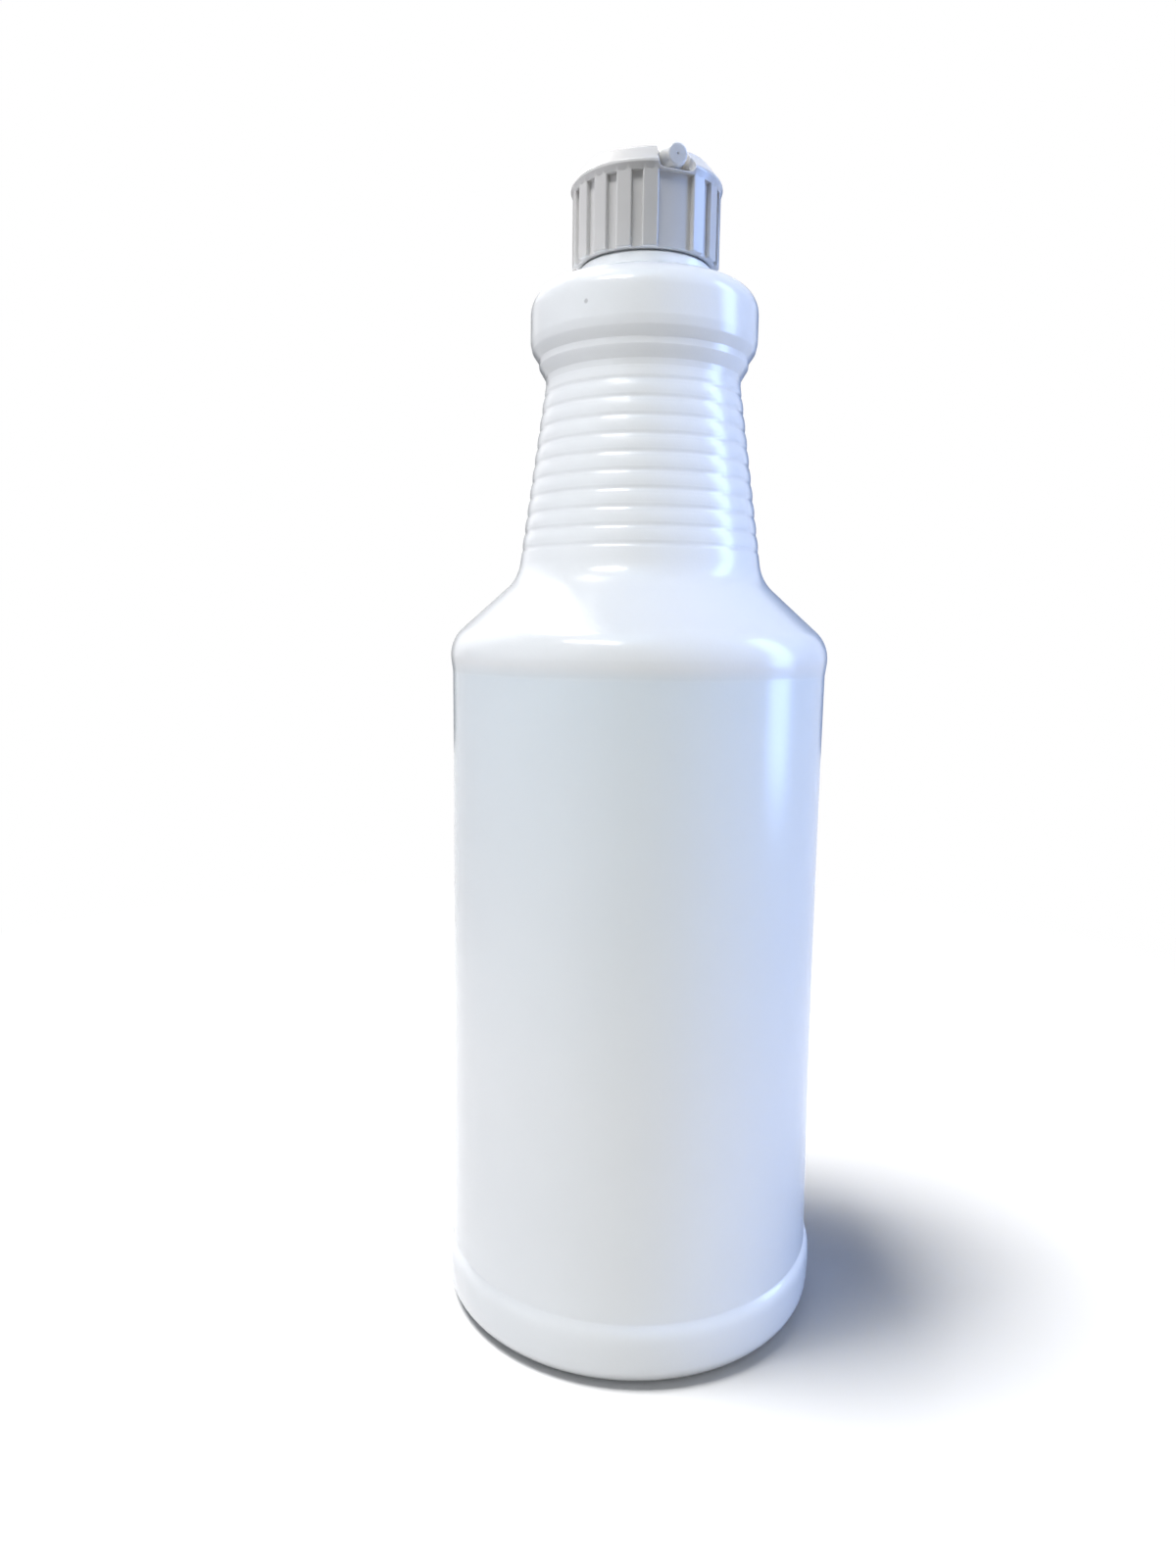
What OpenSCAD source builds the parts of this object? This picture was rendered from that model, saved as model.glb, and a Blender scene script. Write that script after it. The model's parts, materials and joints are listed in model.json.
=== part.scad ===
// Spotting bottle: a blown squeeze bottle with a ringed neck grip, and a ribbed screw cap
// whose spout folds down into a slot in the cap's crown.
// Millimetres, +Z up, origin in the middle of the foot. The folded spout points along -Y.

/* [Body] */
// Inner diameter of the ring the bottle stands on
foot_d = 70; // [56:0.5:74]
// Rise of the dished bottom in its middle
dish_h = 4; // [2.5:0.5:8]
// Widest diameter, at the heel bead
heel_d = 88.6; // [87:0.2:92]
// Height of the heel bead's widest line
heel_h = 10.2; // [8:0.2:14]
// Radius that rounds the heel into the foot
heel_round = 5; // [3:0.2:6]
// How far the heel draws in from its widest line down to the foot
heel_draft = 0.8; // [0.2:0.1:1.5]
// Height of the step from the heel bead in to the panel
heel_step = 4.4; // [2:0.2:6]
// Panel diameter at its lower end
panel_low_d = 86.2; // [82:0.1:86.6]
// Panel diameter at its upper end
panel_top_d = 84.4; // [80:0.1:84.8]
// How far the panel draws in halfway up
panel_bow = 0.33; // [0:0.01:0.6]
// Height of the panel
panel_h = 134.1; // [80:0.1:180]
// Diameter of the shoulder bead above the panel
shoulder_d = 85.2; // [85:0.1:88]
// Height of the flat band under the shoulder bead
band_h = 1.5; // [1:0.1:3]
// How far the band lies inside the bead
band_in = 0.17; // [0.05:0.01:0.2]
// Height of the small ledge below the band, and of the one above it
ledge_h = 0.5; // [0.3:0.1:0.8]
// Radius that rounds the shoulder bead
shoulder_round = 8; // [4:0.5:8.5]
// Height from the panel to the shoulder's edge, before it is rounded
bead_h = 7.1; // [6.8:0.1:12]
// Height of the sloping shoulder
shoulder_h = 13.6; // [10:0.2:20]
// Wall of the blown body
wall = 1; // [0.7:0.05:1.3]

/* [Neck grip] */
// Neck diameter where it meets the shoulder
neck_low_d = 55; // [50:0.2:60]
// Neck diameter under the collar
neck_top_d = 43.2; // [40:0.2:45]
// Height of the tapering neck
neck_h = 40.9; // [36:0.1:60]
// Radius between shoulder and neck
neck_round = 9.5; // [4:0.5:10]
// Number of grooves round the grip
groove_n = 10; // [4:1:10]
// Height of the lowest groove above the shoulder's slope
groove_first = 6.2; // [5.5:0.1:8]
// Height from the highest groove up to the collar
groove_last = 1.6; // [1:0.1:3]
// Height of one groove
groove_w = 1; // [0.8:0.05:1.3]
// Depth of one groove
groove_deep = 0.36; // [0.2:0.02:0.5]
// How far the grip swells between two grooves
grip_swell = 0.14; // [0.05:0.01:0.25]

/* [Collar] */
// Diameter of the collar
collar_d = 49.8; // [49:0.1:54]
// Height of the stepped underside
collar_under = 9.8; // [8:0.1:12]
// Height of the lower of two ledges above the neck
step_z = 1; // [0.6:0.1:1.5]
// Height from the lower ledge to the upper one
step_pitch = 3.7; // [2.5:0.1:4]
// How far out the upper ledge lies from the lower one
step_out = 1.55; // [1:0.05:2]
// Height of each ledge
step_h = 0.7; // [0.4:0.1:1]
// Width of each ledge
step_w = 0.28; // [0.15:0.01:0.4]
// Height of the lip under the collar's side
lip_h = 1.8; // [1.2:0.1:2.4]
// How far that lip lies inside the side
lip_in = 0.4; // [0.2:0.1:0.8]
// Height of the collar's upright side
collar_side = 5.6; // [3:0.1:10]
// Radius over the collar's upper edge
collar_round = 5.4; // [2:0.1:6]
// Slope of the collar's top from level, degrees
collar_slope = 19.4; // [10:0.1:30]
// Diameter of the bead under the closure
bead_d = 28.6; // [28.4:0.1:30]
// Height of that bead
bead_side = 2.05; // [1.5:0.05:4]

/* [Neck finish] */
// Diameter of the finish at the thread's root
finish_d = 25.2; // [24.6:0.1:25.4]
// Bore of the mouth
mouth_d = 21.7; // [19:0.1:22]
// Height of the finish above its bead
finish_h = 13.9; // [12.5:0.1:18]
// Rise of the thread in one turn
pitch = 4.233; // [3.9:0.001:4.6]
// Height of the thread above its root
thread_h = 1.1; // [0.7:0.05:1.2]
// Turns of thread
thread_turns = 1.25; // [1:0.05:1.4]
// Width of the bottle's thread at its root
thread_w = 2.5; // [2:0.1:2.6]
// Width of either thread at its crest
crest_w = 0.8; // [0.6:0.1:0.9]
// Distance from the lip to the middle of the thread's upper end
thread_start = 3.2; // [2.8:0.1:3.6]

/* [Closure] */
// Diameter over the ribs
rib_d = 31.9; // [31.6:0.1:33]
// Depth of the grooves between ribs
rib_h = 0.85; // [0.4:0.05:0.9]
// Rib places round the cap, with one left out under the spout
rib_n = 18; // [12:2:22]
// Width of one rib
rib_w = 3.25; // [2:0.05:3.6]
// Thickness of the flange over the ribs
flange_t = 1.3; // [1:0.05:2]
// Diameter of the flange's edge
flange_d = 32.76; // [32.5:0.02:34]
// Height of the flange's upright edge above its widest line
rim_h = 0.6; // [0.3:0.1:1]
// Height of the bevel from the flange to the crown
bevel_h = 3.6; // [3:0.1:4.2]
// Diameter of the crown
crown_d = 27.2; // [25:0.1:28]
// Height of the crown in its middle above its edge
crown_h = 2.8; // [1.5:0.1:3.2]
// Height of the crown's small upright side
crown_side = 0.5; // [0.3:0.1:0.8]
// Wall of the crown over its cored underside
crown_wall = 1.3; // [1:0.1:1.6]
// Room between the skirt and the bead under it
skirt_gap = 0.4; // [0.2:0.05:1]
// Room between the cap's bore and the bottle's thread
thread_room = 0.25; // [0.15:0.05:0.4]
// Room between the cap's thread and the finish
crest_room = 0.35; // [0.2:0.05:0.5]
// Width of the cap's thread at its root
cap_thread_w = 1.9; // [1.5:0.1:2]
// Thickness of the sealing ring
liner_t = 1; // [0.8:0.05:1.5]
// Inner diameter of the sealing ring
liner_hole_d = 19.8; // [18:0.1:20.4]
// Room round the sealing ring
liner_room = 0.55; // [0.3:0.05:0.8]
// Width of the finger notch at the slot's outer end
notch_w = 8.2; // [7.4:0.1:9]
// How far the notch reaches in from the rim
notch_l = 3; // [2:0.1:4]
// Fall of the notch's floor towards the rim, degrees
notch_fall = 22; // [10:1:35]
// Radius along the notch's lower corners
notch_round = 1.2; // [0.5:0.1:1.6]
// Diameter of the boss under the deck
boss_d = 9; // [7:0.5:14]
// Depth of that boss
boss_h = 1.5; // [0.5:0.1:3]

/* [Spout] */
// Distance from the pivot to the tip
spout_l = 15.9; // [14:0.1:18]
// Diameter of the spout at its tip
tip_d = 4.4; // [3.6:0.1:4.8]
// Bevel round the tip
tip_bevel = 0.3; // [0.1:0.05:0.5]
// Diameter of the spout where its tip begins to round off
neck_d = 5.7; // [5:0.1:6.2]
// Length of that rounded stretch
tip_l = 2.6; // [1.5:0.1:4]
// Diameter of the drum that turns on the pivot
drum_d = 7.5; // [6.4:0.1:7.6]
// Width of the drum and of the spout's flat sides
drum_w = 6.4; // [5.4:0.1:6.8]
// Height of the pivot above the deck's underside
pivot_h = 5; // [4.8:0.1:5.4]
// Diameter of the pivot pins
pin_d = 2.6; // [2:0.1:3]
// Length of one pivot pin
pin_l = 1.2; // [0.8:0.1:1.3]
// Downward slope of the folded spout, degrees
spout_droop = 6; // [4:0.5:8]
// Diameter of the channel
channel_d = 1.8; // [1.2:0.1:2.2]
// Diameter of the hole in the tip
orifice_d = 0.6; // [0.4:0.1:1.2]
// Diameter of the raised seat under the drum
seat_d = 4; // [3:0.1:4.4]
// Height from the slot's floor up to the drum
seat_h = 0.5; // [0.4:0.1:0.8]
// Room on each side of the drum
side_room = 0.25; // [0.15:0.05:0.4]
// Room round a pivot pin
pin_room = 0.05; // [0.03:0.01:0.08]

/* [Hidden] */
$fn = 96;

// Degrees turned by one straight piece of a rounded corner
arc_step = 8;
// Radii of the bottle's soft corners and of its crisp ones
soft_r = 2.2;
crisp_r = 0.3;
// Width and height of the slope from the dished bottom to the foot
foot_slope = [3, 1.2];
// Straight pieces in the swell between two grooves
swell_steps = 6;
// Steps along one turn of a thread, and the degrees over which each of its ends fades
turn_steps = 30;
fade = 30;
// Share of the pitch by which the cap's thread lies below the bottle's
thread_drop = 0.62;
// Overlap that joins two pieces of one moulding
bite = 0.4;
// Room between two parts that slide or roll on one another
seat_room = 0.05;
// Cheek left in the crown past a pivot socket
cheek = 0.3;
// Room between the spout's underside and the drum's seat
relief = 0.65;

// Heights of the bottle, from the foot up
z_panel = heel_h + heel_step;
z_ledge = z_panel + panel_h;
z_shoulder = z_ledge + bead_h;
z_neck = z_shoulder + shoulder_h;
z_under = z_neck + neck_h;
z_collar = z_under + collar_under;
z_edge = z_collar + collar_side;
slope_rise = tan(collar_slope);
z_corner = z_edge + collar_round * tan((90 - collar_slope) / 2);
z_bead = z_corner + (collar_d - bead_d) / 2 * slope_rise;
z_finish = z_bead + bead_side;
z_lip = z_finish + finish_h;
groove_pitch = (neck_h - groove_first - groove_last) / (groove_n - 1);
shoulder_slope = atan(shoulder_h / (shoulder_d - neck_low_d) * 2);
// Height of the bottle's thread at its lower end
z_thread = z_lip - thread_start - pitch * thread_turns;

// Heights and radii of the closure
z_deck = z_lip + liner_t;
z_skirt = z_finish + skirt_gap;
z_flange = z_deck + flange_t;
z_crown = z_flange + bevel_h;
z_top = z_crown + crown_h;
z_pivot = z_deck + pivot_h;
slot_floor = z_pivot - drum_d / 2 - seat_h;
slot_w = drum_w + 2 * side_room;
socket_l = pin_l + side_room;
thread_r = finish_d / 2 + thread_h;
bore_r = thread_r + thread_room;
skirt_r = rib_d / 2 - rib_h;

function unit(v) = v / norm(v);
function mix(a, b, t) = a + (b - a) * t;
function reversed(p) = [for (i = [len(p) - 1:-1:0]) p[i]];

// Points of the arc that rounds the corner b between a and c, where b is [r, z, radius]
function corner(a, b, c) =
    let (p = [b[0], b[1]], u = unit([a[0], a[1]] - p), v = unit([c[0], c[1]] - p),
         half = acos(max(-1, min(1, u * v))) / 2, radius = b[2])
    radius == 0 || half > 89.9 ? [p] :
    let (middle = p + unit(u + v) * radius / sin(half),
         from = p + u * radius / tan(half) - middle,
         side = sign(from[0] * (p - middle)[1] - from[1] * (p - middle)[0]),
         turn = 180 - 2 * half, steps = max(2, ceil(turn / arc_step)), start = atan2(from[1], from[0]))
    [for (i = [0:steps]) let (t = start + side * turn * i / steps) middle + radius * [cos(t), sin(t)]];

function rounded(p) = [for (i = [0:len(p) - 1])
    each (i == 0 || i == len(p) - 1 ? [[p[i][0], p[i][1]]] : corner(p[i - 1], p[i], p[i + 1]))];

// How much lower a sloping wall of thickness w has its inner corner
function sink(w, slope) = w * (1 - sin(slope)) / cos(slope);
// Radius of the panel at a share t of its height
function panel_r(t) = mix(panel_low_d, panel_top_d, t) / 2 - panel_bow * 4 * t * (1 - t);
// Radius of the plain neck at height z
function neck_r(z) = mix(neck_low_d, neck_top_d, (z - z_neck) / neck_h) / 2;

// Half outline of the body up to the neck grip, drawn in by the wall w
function lower_outline(w) = concat(
    [[0, dish_h + w, 0],
     [foot_d / 2 - foot_slope[0], foot_slope[1] + w, soft_r],
     [foot_d / 2, w, soft_r],
     [heel_d / 2 - heel_draft - w, w, heel_round - w],
     [heel_d / 2 - w, heel_h, soft_r],
     [panel_r(0) - w, z_panel, soft_r]],
    [for (t = [0.08:0.07:0.97]) [panel_r(t) - w, z_panel + panel_h * t, 0]],
    [[panel_r(1) - w, z_ledge, crisp_r],
     [shoulder_d / 2 - band_in - w, z_ledge + ledge_h, crisp_r],
     [shoulder_d / 2 - band_in - w, z_ledge + ledge_h + band_h, crisp_r],
     [shoulder_d / 2 - w, z_ledge + 2 * ledge_h + band_h, crisp_r],
     [shoulder_d / 2 - w, z_shoulder - sink(w, shoulder_slope), shoulder_round - w],
     [neck_low_d / 2 - w, z_neck - sink(w, shoulder_slope), neck_round + w]]);

// Half outline of the collar and the way up to radius top_r, drawn in by the wall w
function upper_outline(w, top_r) = concat(
    [for (i = [0, 1]) let (r = neck_r(z_under + step_z) + i * step_out - w, z = z_under + step_z + i * step_pitch)
        each [[r, z, crisp_r], [r + step_w, z + step_h, crisp_r]]],
    [[collar_d / 2 - lip_in - w, z_collar - lip_h, 1.5],
     [collar_d / 2 - w, z_collar, soft_r],
     [collar_d / 2 - w, z_corner - sink(w, collar_slope), collar_round - w],
     [top_r, z_corner - sink(w, collar_slope) + (collar_d / 2 - w - top_r) * slope_rise, crisp_r]]);

// A groove of the grip, and the swell from it up to the next one
function groove(i) =
    let (z = z_neck + groove_first + i * groove_pitch, above = z + groove_w / 2)
    concat([[neck_r(z - groove_w / 2), z - groove_w / 2], [neck_r(z) - groove_deep, z]],
        [for (s = [0:swell_steps - 1]) let (t = s / swell_steps, y = above + (groove_pitch - groove_w) * t)
            if (s == 0 || i < groove_n - 1) [neck_r(y) + grip_swell * 4 * t * (1 - t), y]]);

grip = [for (i = [0:groove_n - 1]) each groove(i)];

outer = concat(
    rounded(concat(lower_outline(0), [grip[0]])),
    [for (i = [1:len(grip) - 1]) grip[i]],
    rounded(concat([[neck_r(z_under), z_under, 0]], upper_outline(0, bead_d / 2),
        [[bead_d / 2, z_finish, crisp_r], [finish_d / 2, z_finish, crisp_r], [finish_d / 2, z_lip, crisp_r],
         [mouth_d / 2, z_lip, 0]])));

inner = rounded(concat(lower_outline(wall), upper_outline(wall, mouth_d / 2), [[mouth_d / 2, z_lip, 0]]));

// A helical ridge from the radius root to the radius crest, each with its width there.
// z is the height of its lower end, and both ends fade into the root.
module ridge(root, crest, root_w, top_w, z) {
    steps = ceil(thread_turns * turn_steps);
    sweep = thread_turns * 360;
    rings = [for (i = [0:steps])
        let (a = sweep * i / steps, full = min(1, a / fade, (sweep - a) / fade),
             r = mix(root, crest, max(full, 0.05)), y = z + pitch * a / 360)
        [for (q = [[root, -root_w], [r, -top_w], [r, top_w], [root, root_w]])
            [q[0] * cos(a), q[0] * sin(a), y + q[1] / 2]]];
    sides = [for (i = [0:steps - 1], k = [0:3])
        let (a = i * 4 + k, b = i * 4 + (k + 1) % 4) [a, b, b + 4, a + 4]];
    ends = [[3, 2, 1, 0], [for (k = [0:3]) steps * 4 + k]];
    faces = concat(sides, ends);
    polyhedron([for (ring = rings) each ring], crest > root ? faces : [for (f = faces) reversed(f)]);
}

module bottle() {
    color([0.93, 0.94, 0.95]) union() {
        rotate_extrude() polygon(concat(outer, reversed(inner)));
        ridge(finish_d / 2 - bite, thread_r, thread_w, crest_w, z_thread);
    }
}

module liner() {
    color([0.88, 0.88, 0.86]) translate([0, 0, z_lip]) difference() {
        cylinder(r = bore_r - liner_room, h = liner_t);
        translate([0, 0, -1]) cylinder(d = liner_hole_d, h = liner_t + 2);
    }
}

// Half outline of the closure, without its ribs
shell_outline = concat(
    rounded([[bore_r, z_skirt, 0], [skirt_r, z_skirt, 0.15], [skirt_r, z_deck, 0], [rib_d / 2, z_deck, 0],
        [flange_d / 2, z_flange, 0.08], [flange_d / 2 - 0.1, z_flange + rim_h, 0.6],
        [crown_d / 2 + 0.15, z_crown, 0.1], [crown_d / 2, z_crown, 0],
        [crown_d / 2 - 0.1, z_crown + crown_side, 0.6], [0, z_top, 0]]),
    [[0, z_deck], [bore_r, z_deck]]);

module ribs() {
    intersection() {
        translate([0, 0, z_skirt]) cylinder(d = rib_d, h = z_deck - z_skirt);
        for (i = [1:rib_n - 1])
            rotate([0, 0, 360 * i / rib_n - 90])
                translate([skirt_r - bite, -rib_w / 2, z_skirt])
                    cube([rib_h + 2 * bite, rib_w, z_deck - z_skirt]);
    }
}

// Hollows that core the crown on both sides of the slot
module cores() {
    reach = liner_hole_d / 2 - bite;
    core_h = z_crown - crown_wall - z_deck;
    inside = slot_w / 2 + pin_l + 2 * cheek;
    intersection() {
        translate([0, 0, z_deck - 1]) cylinder(r1 = reach, r2 = reach - 1, h = core_h + 1);
        for (side = [0, 180])
            rotate([0, 0, side]) translate([inside, -reach, z_deck - 1]) cube([reach, 2 * reach, core_h + 1]);
    }
}

// Finger notch: a sloping floor with rounded lower corners, open upwards and outwards
module notch() {
    long = 2 * notch_l;
    translate([0, -flange_d / 2 + notch_l, slot_floor + notch_l * tan(notch_fall) / 2]) rotate([notch_fall, 0, 0]) {
        for (side = [-1, 1])
            translate([side * (notch_w / 2 - notch_round), 0, notch_round])
                rotate([90, 0, 0]) cylinder(r = notch_round, h = long);
        translate([notch_round - notch_w / 2, -long, 0]) cube([notch_w - 2 * notch_round, long, z_top - z_deck]);
        translate([-notch_w / 2, -long, notch_round]) cube([notch_w, long, z_top - z_deck]);
    }
}

module cap() {
    color([0.95, 0.95, 0.94]) difference() {
        union() {
            difference() {
                union() {
                    rotate_extrude() polygon(shell_outline);
                    ribs();
                    translate([0, 0, z_deck - boss_h]) cylinder(d = boss_d, h = boss_h + bite);
                    ridge(bore_r + bite, finish_d / 2 + crest_room, cap_thread_w, crest_w,
                        z_thread - pitch * thread_drop);
                }
                cores();
                // Slot for the folded spout, round the drum and out through the rim
                translate([-slot_w / 2, -flange_d, slot_floor])
                    cube([slot_w, flange_d + drum_d / 2 + seat_h, z_top]);
                notch();
            }
            // Raised seat under the drum
            translate([0, 0, slot_floor - bite]) cylinder(d = seat_d, h = 2 * seat_h + bite);
        }
        // Pivot sockets, the seat's hollow and the hole up through it
        translate([0, 0, z_pivot]) rotate([0, 90, 0]) {
            cylinder(d = pin_d + 2 * pin_room, h = slot_w + 2 * (pin_l + cheek), center = true);
            cylinder(d = drum_d + 2 * seat_room, h = slot_w, center = true);
        }
        cylinder(d = channel_d, h = z_pivot);
    }
}

// The spout is drawn upright round its pivot and then folded down
module spout() {
    color([0.96, 0.96, 0.95])
        translate([0, 0, z_pivot]) rotate([90 + spout_droop, 0, 0]) difference() {
            union() {
                difference() {
                    rotate_extrude() polygon([[0, 0], [drum_d / 2, 0], [neck_d / 2, spout_l - tip_l],
                        [tip_d / 2, spout_l - tip_bevel], [tip_d / 2 - tip_bevel, spout_l], [0, spout_l]]);
                    // Flat sides, and the hollow that clears the drum's seat
                    for (side = [0, 180])
                        rotate([0, 0, side]) translate([drum_w / 2, -drum_d, -1]) cube([drum_d, 2 * drum_d, spout_l]);
                    intersection() {
                        rotate([0, 90, 0]) cylinder(d = drum_d + 2 * relief, h = 2 * drum_w, center = true);
                        translate([-drum_w, -drum_d, -1]) cube([2 * drum_w, drum_d, drum_d]);
                    }
                }
                rotate([0, 90, 0]) cylinder(d = drum_d, h = drum_w, center = true);
                rotate([0, 90, 0]) cylinder(d = pin_d, h = drum_w + 2 * socket_l, center = true);
            }
            translate([0, 0, -drum_d]) cylinder(d = channel_d, h = drum_d + spout_l - tip_l);
            cylinder(d = orifice_d, h = spout_l + 1);
        }
}

bottle();
liner();
cap();
spout();
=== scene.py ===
"""Spotting bottle: the looks of a blown squeeze bottle with a ribbed cap and a flip-up spout.

Sizes are in millimetres in the property groups and in metres in the meshes. +Z is up, the origin is
the middle of the bottle's foot, and the folded spout points along -Y.
"""

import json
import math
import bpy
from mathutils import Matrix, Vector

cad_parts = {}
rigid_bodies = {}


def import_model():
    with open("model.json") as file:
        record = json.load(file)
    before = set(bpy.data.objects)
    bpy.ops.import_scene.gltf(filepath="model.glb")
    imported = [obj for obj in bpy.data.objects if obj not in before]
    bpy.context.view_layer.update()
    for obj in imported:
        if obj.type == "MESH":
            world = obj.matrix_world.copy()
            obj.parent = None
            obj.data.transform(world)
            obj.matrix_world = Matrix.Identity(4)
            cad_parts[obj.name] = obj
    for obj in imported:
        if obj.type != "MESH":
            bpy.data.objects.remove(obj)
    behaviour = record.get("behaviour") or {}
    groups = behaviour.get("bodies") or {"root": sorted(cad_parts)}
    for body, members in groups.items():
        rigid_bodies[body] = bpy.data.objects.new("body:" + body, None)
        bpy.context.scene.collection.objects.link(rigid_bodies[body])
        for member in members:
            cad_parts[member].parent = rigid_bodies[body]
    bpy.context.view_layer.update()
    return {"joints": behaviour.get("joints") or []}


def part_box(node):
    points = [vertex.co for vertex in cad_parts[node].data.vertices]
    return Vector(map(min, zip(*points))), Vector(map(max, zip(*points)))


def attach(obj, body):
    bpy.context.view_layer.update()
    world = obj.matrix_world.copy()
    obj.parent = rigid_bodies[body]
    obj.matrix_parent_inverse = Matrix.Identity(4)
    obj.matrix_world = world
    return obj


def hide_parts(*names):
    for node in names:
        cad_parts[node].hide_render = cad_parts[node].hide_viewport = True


bl_info = {
    "name": "Spotting Bottle",
    "version": (1, 0, 0),
    "blender": (4, 5, 0),
    "location": "3D View > Sidebar > Bottle",
    "description": "Builds a ringed-neck squeeze bottle with its cap, spout, seal and stage",
    "category": "Add Mesh",
}

import bmesh
import bpy
from bpy.props import FloatProperty, FloatVectorProperty, IntProperty, PointerProperty
from mathutils import Matrix, Vector

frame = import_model()

MM = 0.001
BOTTLE_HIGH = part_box("bottle")[1]
CAP_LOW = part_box("cap")[0]
LINER_LOW, LINER_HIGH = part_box("liner")
PIVOT = next(joint for joint in frame["joints"] if joint["name"] == "spout_flip")["pos_m"][2]
LIP = LINER_LOW.z
DECK = LINER_HIGH.z
SKIRT = CAP_LOW.z

# Degrees turned by one straight piece of a rounded corner
ARC_STEP = 5
# Overlap that joins two pieces of one moulding, in millimetres
BITE = 0.4
# Longer than any piece of the closure, in millimetres, for tools that cut right through
THROUGH = 20
# How far the cap's thread lies below the bottle's, in turns of the thread
THREAD_DROP = 0.62
# Turn over which a thread rises from its root, at each end
THREAD_FADE = math.radians(30)
# Heights between which a painted darker, bluer shade on the upper panel fades in, stays full and fades out
# again, in millimetres
SHADE_START, SHADE_FULL, SHADE_END = 60, 148, 151
# Place of the dirt speck on the collar, its outer and inner radius in millimetres, and its strength
SPECK, SPECK_RADII, SPECK_STRENGTH = (-19.35, -15.67, 223.15), (0.55, 0.3), 0.55
# Distances from the axis between which the floor fades into the white background, in millimetres
FLOOR_FADE = (220, 420)


def size(name, text, value, low=0.0):
    """A length in millimetres that a user may change."""
    return FloatProperty(name=name, description=text + ", in millimetres", default=value, min=low)


def tint(name, text, value):
    """A linear colour that a user may change."""
    return FloatVectorProperty(name=name, description=text, default=value, subtype="COLOR", min=0, max=1)


class BottleSizes(bpy.types.PropertyGroup):
    """Sizes of the blown bottle."""

    foot: size("Foot", "Inner diameter of the ring the bottle stands on", 70)
    dish: size("Dish", "Rise of the dished bottom in its middle", 4)
    heel: size("Heel", "Widest diameter, at the heel bead", 2 * BOTTLE_HIGH.x / MM)
    heel_height: size("Heel height", "Height of the heel bead's widest line", 10.2)
    heel_round: size("Heel radius", "Radius that rounds the heel into the foot", 5)
    heel_draft: size("Heel draft", "How far the heel draws in down to the foot", 0.8)
    heel_step: size("Heel step", "Height of the step from the heel bead in to the panel", 4.4)
    panel_low: size("Panel below", "Panel diameter at its lower end", 86.2)
    panel_top: size("Panel above", "Panel diameter at its upper end", 84.4)
    panel_bow: size("Panel bow", "How far the panel draws in halfway up", 0.33)
    panel_height: size("Panel height", "Height of the panel", 134.1)
    shoulder: size("Shoulder", "Diameter of the shoulder bead above the panel", 85.2)
    ledge: size("Ledge", "Height of the soft ledge from the panel out to the shoulder bead", 2.8)
    shoulder_round: size("Shoulder radius", "Radius that rounds the shoulder bead", 8)
    bead_height: size("Bead height", "Height from the panel to the shoulder's edge", 7.1)
    shoulder_height: size("Shoulder height", "Height of the sloping shoulder", 13.6)
    wall: size("Wall", "Wall of the blown body", 1)
    neck_low: size("Neck below", "Neck diameter where it meets the shoulder", 55)
    neck_top: size("Neck above", "Neck diameter under the collar", 43.2)
    neck_height: size("Neck height", "Height of the tapering neck", 40.9)
    neck_round: size("Neck radius", "Radius between shoulder and neck", 9.5)
    grooves: IntProperty(name="Grooves", description="Number of grooves round the grip", default=10, min=2)
    groove_first: size("First groove", "Height of the lowest groove above the shoulder's slope", 6.2)
    groove_last: size("Last groove", "Height from the highest groove up to the collar", 1.6)
    groove_width: size("Groove width", "Height of one soft groove", 1.7)
    groove_depth: size("Groove depth", "Depth of one groove", 0.16)
    swell: size("Grip swell", "How far the grip swells between two grooves", 0.08)
    collar: size("Collar", "Diameter of the collar", 49.8)
    collar_under: size("Collar underside", "Height of the stepped underside", 9.8)
    step_low: size("First ledge", "Height of the lower ledge above the neck", 1)
    step_pitch: size("Ledge pitch", "Height from the lower ledge to the upper one", 3.7)
    step_out: size("Ledge offset", "How far out the upper ledge lies", 1.55)
    step_height: size("Ledge height", "Height of each ledge", 1.3)
    step_width: size("Ledge width", "Width of each ledge", 0.1)
    lip_height: size("Lip height", "Height of the lip under the collar's side", 1.8)
    lip_in: size("Lip inset", "How far that lip lies inside the side", 0.4)
    collar_side: size("Collar side", "Height of the collar's upright side", 5.6)
    collar_round: size("Collar radius", "Radius over the collar's upper edge", 5.4)
    collar_slope: FloatProperty(name="Collar slope", description="Slope of the collar's top, in degrees",
                                default=19.4)
    bead: size("Neck bead", "Diameter of the bead under the closure", 28.6)
    bead_side: size("Neck bead height", "Height of that bead", 2.05)
    finish: size("Finish", "Diameter of the finish at the thread's root", 25.2)
    mouth: size("Mouth", "Bore of the mouth", 21.7)
    pitch: size("Thread pitch", "Rise of the thread in one turn", 4.233)
    thread: size("Thread height", "Height of the thread above its root", 1.1)
    turns: FloatProperty(name="Thread turns", description="Turns of thread", default=1.25)
    thread_start: size("Thread start", "Distance from the lip to the thread's upper end", 3.2)
    thread_width: size("Thread width", "Width of the bottle's thread at its root", 2.5)
    crest: size("Thread crest", "Width of either thread at its crest", 0.8)


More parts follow.
